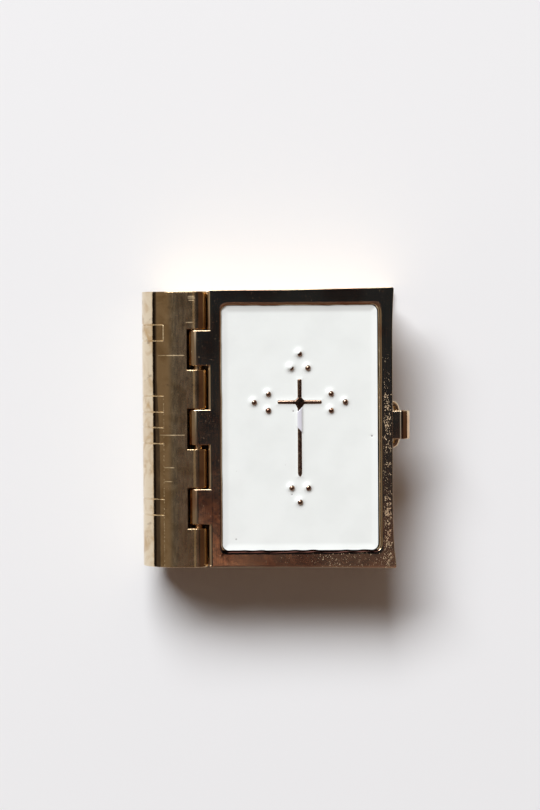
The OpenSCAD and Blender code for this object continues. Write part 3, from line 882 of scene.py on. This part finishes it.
def painted_slope_shade(x, y, z):
    """One where the rim is painted near-black as shade: at the foot of the burnished slope, against the
    enamel, and over the whole slope along the tail edge.
    """
    inside = (x > enamel_low[0] - 1) & (x < enamel_high[0] + 1) & (np.abs(y) < head_y - 1)
    fore = x > enamel_high[0] - 0.2
    full = enamel_high[2] + np.where(fore, 0.06, WALL_SHOWN + 0.02)
    foot = inside * (1 - fade_in(z, full, full + 0.10))
    beyond = enamel_low[1] - y
    within = (x > enamel_low[0] - 0.05) & (x < enamel_high[0] + 0.15) & (beyond > -0.1) & (z > enamel_low[2])
    return np.maximum(foot, within * (1 - fade_in(beyond, SLOPE_TAIL + 0.04, SLOPE_TAIL + 0.24)))


def rubbed_edges(x, y, z):
    """How far the gilding is rubbed on the lip beside the hinge and on the fingers' crowns."""
    beside = np.min([np.abs(y - top + FINGER_L / 2) for top in FINGER_TOPS], axis=0) > FINGER_L / 2
    on_lip = (z > case_top - LIP_DROP - 0.02) & (x > plate_x - 0.45)
    lip_edge = 0.6 * fade_in(-x, -plate_x - 0.38, -plate_x - 0.24) * on_lip * beside
    crown = 0.55 * np.exp(-((x - CROWN_X - 0.17) / 0.16) ** 2) * (z > case_top - 0.7)
    return np.maximum(lip_edge, crown)


def polished_gilt(name, wear):
    """Gilt on the front cover, polished by handling so that it mirrors the room, with hairlines, a
    slight unevenness, specks of bare metal, and more of them in clumps along the fore edge."""
    material, tree, shader = new_finish(name, Metallic=1.0)
    _, x, y = object_place(tree)
    fore = fade(tree, x, (enamel_high[0] + 0.2) * MM, (enamel_high[0] + 1.0) * MM)
    low = fade(tree, y, 12 * MM, 3 * MM)
    thin = fade(tree, noise(tree, 6, 3), 0.42, 0.70)
    grime = fade(tree, noise(tree, 0.8, 6, distortion=0.6), 0.64, 0.80, 0, 0.7)
    colour = blended(tree, thin, GILT, GILT_RED)
    colour = blended(tree, grime, colour, GILT_TARNISH)
    # Painted shade: the rim's slope is painted near-black at its foot against the enamel and along the tail
    # side.
    colour = blended(tree, marked(tree, "slope_shade"), colour, (0.02, 0.008, 0.006, 1))
    bar_middle = (enamel_high[0] + SLOPE_FORE + fore_x - FORE_MIDDLE) / 2
    fore_bar = times(tree, fore, low, fade(tree, noise(tree, 1.5, 3), 0.36, 0.60, 0.3, 1),
                     fade(tree, gap(tree, x, bar_middle * MM), 0.85 * MM, 0.25 * MM))
    tail_bar = times(tree, fade(tree, y, -16.4 * MM, -17.0 * MM), fade(tree, x, 0.0, 9 * MM, 0, 0.45))
    specks = plus(tree, noise(tree, 0.13, 3, stretch=(1, 1.5, 1)),
                  times(tree, largest(tree, fore_bar, tail_bar), 0.185))
    worn = largest(tree, fade(tree, specks, 0.715, 0.765, 0, wear), times(tree, marked(tree, "rubbed"), 0.8))
    hair = noise(tree, 0.10, 3, stretch=(1, 60, 1))
    roughness = plus(tree, fade(tree, hair, 0.40, 0.75, 0.09, 0.16), times(tree, worn, 0.42),
                     times(tree, grime, 0.2))
    height = plus(tree, noise(tree, 2.2, 2), times(tree, hair, 0.06), times(tree, worn, -0.6))
    finished(tree, shader, colour, roughness, height, 0.012)
    return material


gilt_polished = polished_gilt("gilt_polished", 1.0)
rimmed_cover = make_piece("rimmed_cover", cover_grids, "front_cover", gilt_polished)
keep_faces_flat(rimmed_cover)
mark(rimmed_cover, "slope_shade", painted_slope_shade)
mark(rimmed_cover, "rubbed", rubbed_edges)
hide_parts("front_cover")


# ---------- cross
# Four tapered bars and a four-pointed boss, chased from brass and fixed in the tray before it was
# enamelled. One stretch of the long bar is drowned in enamel.

cross_low, cross_high = span("raised_cross")
cross_x = (cross_low[0] + cross_high[0]) / 2
ARM = (cross_high[0] - cross_low[0]) / 2
BAR_HALF = 0.29
TOP_L = 3.16
cross_y = cross_high[1] - TOP_L
FOOT_L = cross_y - cross_low[1]
BOSS_R = 1.05
BAR_RISE = 0.22


def bar(length, half_start, half_end):
    """A bar that runs out from the crossing along +X: its section is a half ellipse on a straight
    stem, its width changes evenly, and its end is rounded as an ellipse."""
    along = np.concatenate([np.linspace(0, 0.94, 26), 1 - 0.06 * np.cos(np.linspace(0.1, np.pi / 2, 8))])
    round_off = np.sqrt(np.clip(1 - (np.clip(along - 0.94, 0, None) / 0.06) ** 2, 0, 1))
    half = (half_start + (half_end - half_start) * along) * np.maximum(round_off, 0.02)
    turn = np.linspace(0, np.pi, 15)
    x = along[:, None] * length
    y = half[:, None] * np.concatenate([[1], np.cos(turn), [-1]])
    crown = BAR_RISE * np.concatenate([[0], np.sin(turn) ** 0.7, [0]]) * (0.55 + 0.45 * round_off[:, None])
    stem = np.concatenate([[enamel_low[2]], np.full(len(turn), enamel_high[2]), [enamel_low[2]]])
    skin = together(x, y, stem + crown)
    return np.concatenate([[gathered(skin[0])], skin, [gathered(skin[-1])]])


def turned(points, quarter, middle_x, middle_y):
    """Points turned by quarter turns about +Z and set down at a place."""
    angle = quarter * np.pi / 2
    x = points[..., 0] * np.cos(angle) - points[..., 1] * np.sin(angle) + middle_x
    y = points[..., 0] * np.sin(angle) + points[..., 1] * np.cos(angle) + middle_y
    return together(x, y, points[..., 2])


turn = np.linspace(0, 2 * np.pi, 96, endpoint=False)
boss_reach = BOSS_R / (np.abs(np.cos(turn)) ** 0.8 + np.abs(np.sin(turn)) ** 0.8) ** (1 / 0.8)
boss_reach *= 1 + 0.35 * np.clip(-np.sin(turn), 0, 1) ** 4
boss = []
for share in np.sin(np.linspace(0, np.pi / 2, 9)):
    height = enamel_high[2] + BAR_RISE * (0.35 + 0.75 * (1 - share ** 4) ** 0.5)
    boss.append(together(boss_reach * share * np.cos(turn) + cross_x,
                         boss_reach * share * np.sin(turn) + cross_y, height))
boss.append(boss[-1] * [1, 1, 0] + [0, 0, enamel_low[2]])
boss.append(gathered(boss[-1]))
cross_grids = [(np.array(boss), False, True)]
for quarter, (length, half_end) in enumerate([(ARM, 0.27), (TOP_L, 0.31), (ARM, 0.25), (FOOT_L, 0.31)]):
    cross_grids.append((turned(bar(length, BAR_HALF, half_end), quarter, cross_x, cross_y), False, True))


def distance_from(tree, x, y, z):
    """How far the point that is being coloured is from a place given in millimetres."""
    place, _, _ = object_place(tree)
    return add(tree, "VectorMath", {0: place, 1: (x * MM, y * MM, z * MM)},
               operation="DISTANCE").node.outputs["Value"]


def chased_brass():
    """Brass of the cross and beads: darker and redder than the gilt in patches, and tool-marked."""
    material, tree, shader = new_finish("chased_brass", Metallic=1.0)
    patches = fade(tree, noise(tree, 0.9, 5, distortion=0.5), 0.38, 0.66)
    colour = blended(tree, patches, (0.40, 0.28, 0.20, 1), (0.26, 0.14, 0.10, 1))
    # Painted shade: the boss at the crossing is painted near-black, darkest at its middle.
    middle = fade(tree, distance_from(tree, cross_x, cross_y, case_top), 1.25 * MM, 0.65 * MM, 0, 0.75)
    colour = blended(tree, middle, colour, (0.07, 0.04, 0.03, 1))
    roughness = fade(tree, noise(tree, 0.4, 4), 0.3, 0.7, 0.16, 0.32)
    finished(tree, shader, colour, roughness, noise(tree, 0.6, 2), 0.015)
    return material


brass_chased = chased_brass()
chased_cross = make_piece("chased_cross", cross_grids, "front_cover", brass_chased)
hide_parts("raised_cross")


# ---------- beads
# Twelve brass pins with round heads, three beyond each end of the cross. The enamel has crept up
# them, so that each shows only its tip, some more than others.

BEAD_R = 0.42
BEAD_PAIR = 1.14
BEAD_STEP = 1.95
GAP_END, GAP_SIDE = 1.53, 1.26
bead_places = []
for quarter, near in enumerate([ARM + GAP_SIDE, TOP_L + GAP_END, ARM + GAP_SIDE, FOOT_L + GAP_END]):
    for out, side in ((near, -BEAD_PAIR), (near, BEAD_PAIR), (near + BEAD_STEP, 0)):
        bead_places.append(turned(np.array([out, side, 0.0]), quarter, cross_x, cross_y)[:2])
bead_places = np.array(bead_places)


def round_head(middle):
    """A pin with a round head: circles whose radius is constant up the stem and then follows a
    half sphere."""
    turn = np.linspace(0, 2 * np.pi, 32, endpoint=False)
    rise = np.linspace(0, np.pi / 2, 10)
    radius = BEAD_R * np.concatenate([[0, 1], np.cos(rise)])
    z = np.concatenate([[enamel_low[2]] * 2, enamel_high[2] + 0.02 + BEAD_R * np.sin(rise)])
    x = middle[0] + radius[:, None] * np.cos(turn)
    y = middle[1] + radius[:, None] * np.sin(turn)
    return together(x, y, z[:, None])


bead_grids = [(round_head(middle), False, True) for middle in bead_places]
bead_heads = make_piece("bead_heads", bead_grids, "front_cover", brass_chased)
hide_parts("raised_beads")


# ---------- enamel
# White glass fused into the tray. While it was soft it crept up the rim, the cross and the beads,
# and it has a few pinholes where bubbles burst.

CREEP_RIM, CREEP_BAR, CREEP_BEAD = 0.16, 0.09, 0.35
CREEP_WIDTH = 0.28
RIM_WIDTH = 0.85
BEAD_WIDTH = 0.50
BEAD_LEAN = 0.09
PITS = ((13.2, -1.1, 0.16, 0.08), (2.45, 2.35, 0.14, 0.06), (2.2, -9.1, 0.12, 0.05),
        (-5.5, -15.2, 0.12, 0.05))
BEAD_COVERED = (1.0, 0.98, 0.86, 0.96, 1.42, 1.26, 1.08, 0.80, 1.06, 1.0, 1.04, 1.0)
DROWNED = (-3.90, -1.15)
DROWNED_SLANT = 0.30


def graded(low, high, fine_low, fine_high, fine_step, step):
    """Places from low to high, close together between fine_low and fine_high."""
    fine = np.linspace(fine_low, fine_high, int((fine_high - fine_low) / fine_step) + 1)
    below = np.linspace(low, fine_low, int((fine_low - low) / step) + 2)[:-1]
    above = np.linspace(fine_high, high, int((high - fine_high) / step) + 2)[1:]
    return np.concatenate([below, fine, above])


grid_x = graded(enamel_low[0], enamel_high[0], cross_x - 7.3, cross_x + 7.3, 0.075, 0.2)
grid_y = graded(enamel_low[1], enamel_high[1], cross_y - 14.5, cross_y + 7.4, 0.075, 0.2)
x, y = np.meshgrid(grid_x, grid_y, indexing="ij")
corner_x = np.clip(np.maximum(enamel_low[0] + WINDOW_R - x, x - enamel_high[0] + WINDOW_R), 0, None)
corner_y = np.clip(np.maximum(enamel_low[1] + WINDOW_R - y, y - enamel_high[1] + WINDOW_R), 0, None)
shrink = np.maximum(corner_x, corner_y) / np.maximum(np.hypot(corner_x, corner_y), 1e-9)
in_corner = (corner_x > 0) & (corner_y > 0)
x = np.where(in_corner, x - np.sign(x - middle_x) * corner_x * (1 - shrink), x)
y = np.where(in_corner, y - np.sign(y - middle_y) * corner_y * (1 - shrink), y)
edge_x = np.minimum(x - enamel_low[0], enamel_high[0] - x)
edge_y = np.minimum(y - enamel_low[1], enamel_high[1] - y)
from_rim = np.minimum(edge_x, edge_y)
across_x, across_y = x - cross_x, y - cross_y
from_upright = np.hypot(np.clip(np.abs(across_x) - BAR_HALF, 0, None),
                        np.clip(np.maximum(across_y - TOP_L, -FOOT_L - across_y), 0, None))
from_arms = np.hypot(np.clip(np.abs(across_y) - BAR_HALF, 0, None), np.clip(np.abs(across_x) - ARM, 0, None))
boss_share = (np.abs(across_x) ** 0.8 + np.abs(across_y) ** 0.8) ** (1 / 0.8) / BOSS_R
from_metal = np.minimum(np.minimum(from_upright, from_arms), np.clip(boss_share - 1, 0, None) * BOSS_R * 0.6)
creep_rim = CREEP_RIM * (1 + 0.4 * fade_in(y, enamel_high[1] - 1.4, enamel_high[1] - 0.6))
height = creep_rim * np.clip(1 - from_rim / RIM_WIDTH, 0, 1) ** 1.15
height += CREEP_BAR * np.exp(-from_metal / CREEP_WIDTH)
for (bead_x, bead_y), covered in zip(bead_places, BEAD_COVERED):
    away = np.hypot(x - bead_x + BEAD_LEAN, y - bead_y - BEAD_LEAN)
    height += CREEP_BEAD * covered * np.exp(-(away / BEAD_WIDTH) ** 2)
slant = across_y + DROWNED_SLANT * across_x / BAR_HALF
drowned = fade_in(slant, DROWNED[0], DROWNED[0] + 0.12)
drowned *= 1 - fade_in(across_y - across_x, DROWNED[1], DROWNED[1] + 0.3)
ridge = (BAR_RISE + 0.03 - CREEP_BAR) * np.exp(-(np.abs(across_x) / 0.40) ** 4)
height += ridge * drowned
height += 0.010 * (np.sin(1.7 * x + 0.6 * y) + np.sin(0.9 * y - 1.1 * x + 1.0)) / 2
for pit_x, pit_y, pit_r, pit_depth in PITS:
    height -= pit_depth * np.exp(-(np.hypot(x - pit_x, y - pit_y) / pit_r) ** 2)
glass_top = together(x, y, enamel_high[2] + height)
glass_under = glass_top * [1, 1, 0] + [0, 0, enamel_low[2]]
glass_edge = np.concatenate([np.arange(len(grid_x) * len(grid_y)).reshape(len(grid_x), -1)[side] for side in (
    np.s_[:, 0], np.s_[-1, 1:], np.s_[-2::-1, -1], np.s_[0, -2:0:-1])])
skirt = np.stack([glass_top.reshape(-1, 3)[glass_edge], glass_under.reshape(-1, 3)[glass_edge]])
enamel_grids = [(glass_top, False, False), (np.concatenate([skirt, [gathered(skirt[1])]]), False, True)]


def white_glass():
    """White enamel: glossy glass, very slightly warmer and greyer in clouds, with a few dark
    specks of scale."""
    material, tree, shader = new_finish("white_glass", Roughness=0.10, IOR=1.52, Coat_Weight=0.0)
    clouds = fade(tree, noise(tree, 5, 4), 0.35, 0.70)
    colour = blended(tree, clouds, (0.90, 0.925, 0.895, 1), (0.865, 0.89, 0.86, 1))
    # Painted reflection: where the enamel is a thin skin over the drowned bar, it is tinted lavender-grey.
    colour = blended(tree, marked(tree, "thin"), colour, (0.70, 0.69, 0.745, 1))
    specks = fade(tree, noise(tree, 0.35, 2), 0.79, 0.83)
    colour = blended(tree, times(tree, specks, 0.5), colour, (0.30, 0.27, 0.24, 1))
    for pit_x, pit_y, pit_r, pit_depth in PITS:
        off = distance_from(tree, pit_x, pit_y, enamel_high[2])
        pit = fade(tree, off, 0.17 * MM, 0.08 * MM, 0, pit_depth * 9)
        colour = blended(tree, pit, colour, (0.16, 0.13, 0.13, 1))
    finished(tree, shader, colour, None, noise(tree, 1.6, 2), 0.006)
    return material


def thin_skin_reflection(x, y, z):
    """One where the enamel is a thin skin over the drowned stretch of the long bar. The material tints this
    skin lavender-grey as a painted reflection.
    """
    over_bar = np.exp(-(np.abs(x - cross_x) / 0.36) ** 6) * (y < cross_y) * (y > cross_y - 5)
    return over_bar * fade_in(z, enamel_high[2] + 0.12, enamel_high[2] + 0.20)


glass = white_glass()
fused_enamel = make_piece("fused_enamel", enamel_grids, "front_cover", glass)
mark(fused_enamel, "thin", thin_skin_reflection)
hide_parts("enamel_panel")


# ---------- clasp tab
# A springy gilt strip brazed into the edge of the cover. It bends down over the catch bar, and a
# bump inside its end snaps under it.

tab_low, tab_high = span("clasp_tab")
TAB_T = 0.65
TAB_BEND = 1.22
TAB_EASE = 0.13
NUB_R = 0.47
NUB_UP = 0.75

bend_x, bend_z = tab_high[0] - TAB_BEND, tab_high[2] - TAB_BEND
angle = np.linspace(np.pi / 2, 0, 25)
run = np.linspace(0, 1, 9)[:-1, None]
drop = np.linspace(0, 1, 33)[1:]
radial = together(np.cos(angle), np.sin(angle))
outside = np.concatenate([
    [tab_low[0], tab_high[2]] + run * [bend_x - tab_low[0], 0],
    [bend_x, bend_z] + TAB_BEND * radial,
    together(tab_high[0], bend_z + drop * (tab_low[2] - bend_z))])
inward = np.concatenate([np.tile([0.0, -1.0], (len(run), 1)), -radial, np.tile([-1.0, 0.0], (len(drop), 1))])
inside = outside + TAB_T * inward
nub_rise = np.sqrt(np.clip(NUB_R ** 2 - (inside[:, 1] - tab_low[2] - NUB_UP) ** 2, 0, None))
inside[-len(drop):, 0] -= nub_rise[-len(drop):]
end_share = np.clip((outside[:, 1] - tab_low[2]) / 0.3, 0, 1)
end_round = 0.30 * (1 - np.sqrt(np.clip(1 - (1 - end_share) ** 2, 0, 1)))
half_w = (tab_high[1] - tab_low[1]) / 2
rings = []
places = [(-half_w + down * TAB_EASE, in_by * TAB_EASE) for in_by, down in eased()]
places += [(-y, inset) for y, inset in places[::-1]]
for y, inset in places:
    skin = outside + inward * inset
    back = inside - inward * inset
    loop = np.concatenate([skin, back[::-1]])
    narrow = np.concatenate([end_round, end_round[::-1]])
    ring_y = np.sign(y) * (abs(y) - narrow) + (tab_low[1] + tab_high[1]) / 2
    rings.append(together(loop[:, 0], ring_y, loop[:, 1]))
rings = np.array(rings)
points = len(outside)
tab_grids = [(rings, False, True)]
for side in (0, -1):
    tab_grids.append((np.stack([rings[side, :points], rings[side, :points - 1:-1]]), False, False))
BEND_HIGHLIGHT_AT = 1.30


def bent_gilt():
    """Gilt on the clasp: polished like the cover, with a pale line painted as a highlight where the bend
    starts, rougher there too, and a stretch beside it painted dark as a reflection."""
    material = polished_gilt("gilt_clasp", 0.25)
    tree = material.node_tree
    shader = tree.nodes["Principled BSDF"]
    off = minus(tree, object_place(tree)[1], (tab_high[0] - BEND_HIGHLIGHT_AT) * MM)
    # Painted highlight: a pale line across the clasp where its bend starts. Painted reflection: the dark
    # stretch just beyond it.
    pale = fade(tree, gap(tree, off, 0.0), 0.12 * MM, 0.04 * MM)
    dark = times(tree, fade(tree, off, 0.08 * MM, 0.14 * MM),
                 fade(tree, off, 0.42 * MM, 0.30 * MM, 0, 0.8))
    gold, polish = (shader.inputs[name].links[0].from_socket for name in ("Base Color", "Roughness"))
    gold = blended(tree, pale, blended(tree, dark, gold, (0.16, 0.06, 0.04, 1)), (0.95, 0.80, 0.58, 1))
    finished(tree, shader, gold, plus(tree, polish, times(tree, pale, 0.24)))
    return material


clasp_strip = make_piece("clasp_strip", tab_grids, "front_cover", bent_gilt())
keep_faces_flat(clasp_strip)
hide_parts("clasp_tab")


# ---------- floor, light and camera
# A plain pale table, one large soft light high behind the book's head and spine, a dim warm room,
# and a camera almost straight above.

TABLE_HALF = 3000
TABLE_SHADE = 0.86
LAMP_WIDE, LAMP_DEEP, LAMP_AWAY, LAMP_POWER = 2.2, 1.2, 3.0, 133
LAMP_SIDE = (-0.35, 0.79, 0.80)
VIEW_H = 400
CAMERA_Y = 15.0
AIM_X, AIM_Y = -0.745, 3.23
SLANT = 0.00604
LENS = 129.9
SENSOR = 36

floor_mesh = bpy.data.meshes.new("table")
corner = TABLE_HALF * MM
floor_corners = [(-corner, -corner, 0), (corner, -corner, 0), (corner, corner, 0), (-corner, corner, 0)]
floor_mesh.from_pydata(floor_corners, [], [(0, 1, 2, 3)])
table_white, tree, shader = new_finish("table_white", Roughness=0.7)
shader.inputs["Base Color"].default_value = (TABLE_SHADE, TABLE_SHADE, TABLE_SHADE, 1)
shader.inputs["Specular IOR Level"].default_value = 0.2
floor_mesh.materials.append(table_white)
table = bpy.data.objects.new("table", floor_mesh)
bpy.context.scene.collection.objects.link(table)

lamp_data = bpy.data.lights.new("softbox", "AREA")
lamp_data.shape = "RECTANGLE"
lamp_data.size, lamp_data.size_y = LAMP_WIDE, LAMP_DEEP
lamp_data.energy = LAMP_POWER
lamp_data.color = (0.935, 0.963, 1.0)
lamp = bpy.data.objects.new("softbox", lamp_data)
lamp_way = Vector(LAMP_SIDE).normalized()
lamp.location = lamp_way * LAMP_AWAY
lamp.rotation_euler = lamp_way.to_track_quat("Z", "Y").to_euler()
bpy.context.scene.collection.objects.link(lamp)

world = bpy.data.worlds.new("room")
world.use_nodes = True
bpy.context.scene.world = world
tree = world.node_tree
way = tree.nodes.new("ShaderNodeTexCoord").outputs["Generated"]
apart = tree.nodes.new("ShaderNodeSeparateXYZ")
tree.links.new(way, apart.inputs[0])
eastward, northward, upward = apart.outputs
clear_of_floor = fade(tree, upward, 0.15, 0.25)
room = blended(tree, clear_of_floor, (0.026, 0.020, 0.018, 1), (0.25, 0.175, 0.125, 1))
west = times(tree, fade(tree, eastward, 0.10, -0.30), clear_of_floor, 0.85)
room = blended(tree, west, room, (0.195, 0.165, 0.13, 1))
east = times(tree, fade(tree, eastward, 0.12, 0.40), fade(tree, northward, 0.5, 0.2), 0.85)
room = blended(tree, east, room, (0.055, 0.026, 0.018, 1))
low_south = fade(tree, northward, -0.30, -0.70, 0, 0.85)
room = blended(tree, low_south, room, (0.10, 0.045, 0.03, 1))
room = blended(tree, fade(tree, upward, 0.80, 0.975), room, (0.014, 0.019, 0.028, 1))
south = times(tree, fade(tree, northward, -0.058, -0.11), fade(tree, eastward, 0.012, 0.040, 0.50, 1.75),
              fade(tree, upward, 0.93, 0.98, 0, 0.50))
room = blended(tree, south, room, (0.27, 0.170, 0.150, 1))
corner_glow = times(tree, fade(tree, eastward, -0.008, -0.017), fade(tree, eastward, -0.050, -0.035),
                    fade(tree, northward, -0.0765, -0.080, 0, 0.9), fade(tree, northward, -0.112, -0.092))
room = blended(tree, corner_glow, room, (1.05, 0.53, 0.37, 1))
tree.links.new(room, tree.nodes["Background"].inputs["Color"])
tree.nodes["Background"].inputs["Strength"].default_value = 1.0

camera_data = bpy.data.cameras.new("camera")
camera_data.lens = LENS
camera_data.sensor_fit = "VERTICAL"
camera_data.sensor_height = SENSOR
camera_data.clip_start = 0.01
camera = bpy.data.objects.new("camera", camera_data)
aim = Vector((AIM_X, AIM_Y, case_top)) * MM
camera.location = Vector((AIM_X, CAMERA_Y, case_top + VIEW_H)) * MM
turn_axis = (camera.location - aim).normalized()
up = Vector((SLANT, 1, 0))
up = (up - turn_axis * up.dot(turn_axis)).normalized()
side = up.cross(turn_axis)
camera.rotation_euler = Matrix((side, up, turn_axis)).transposed().to_euler()
bpy.context.scene.collection.objects.link(camera)
bpy.context.scene.camera = camera
bpy.context.scene.view_settings.view_transform = "Standard"
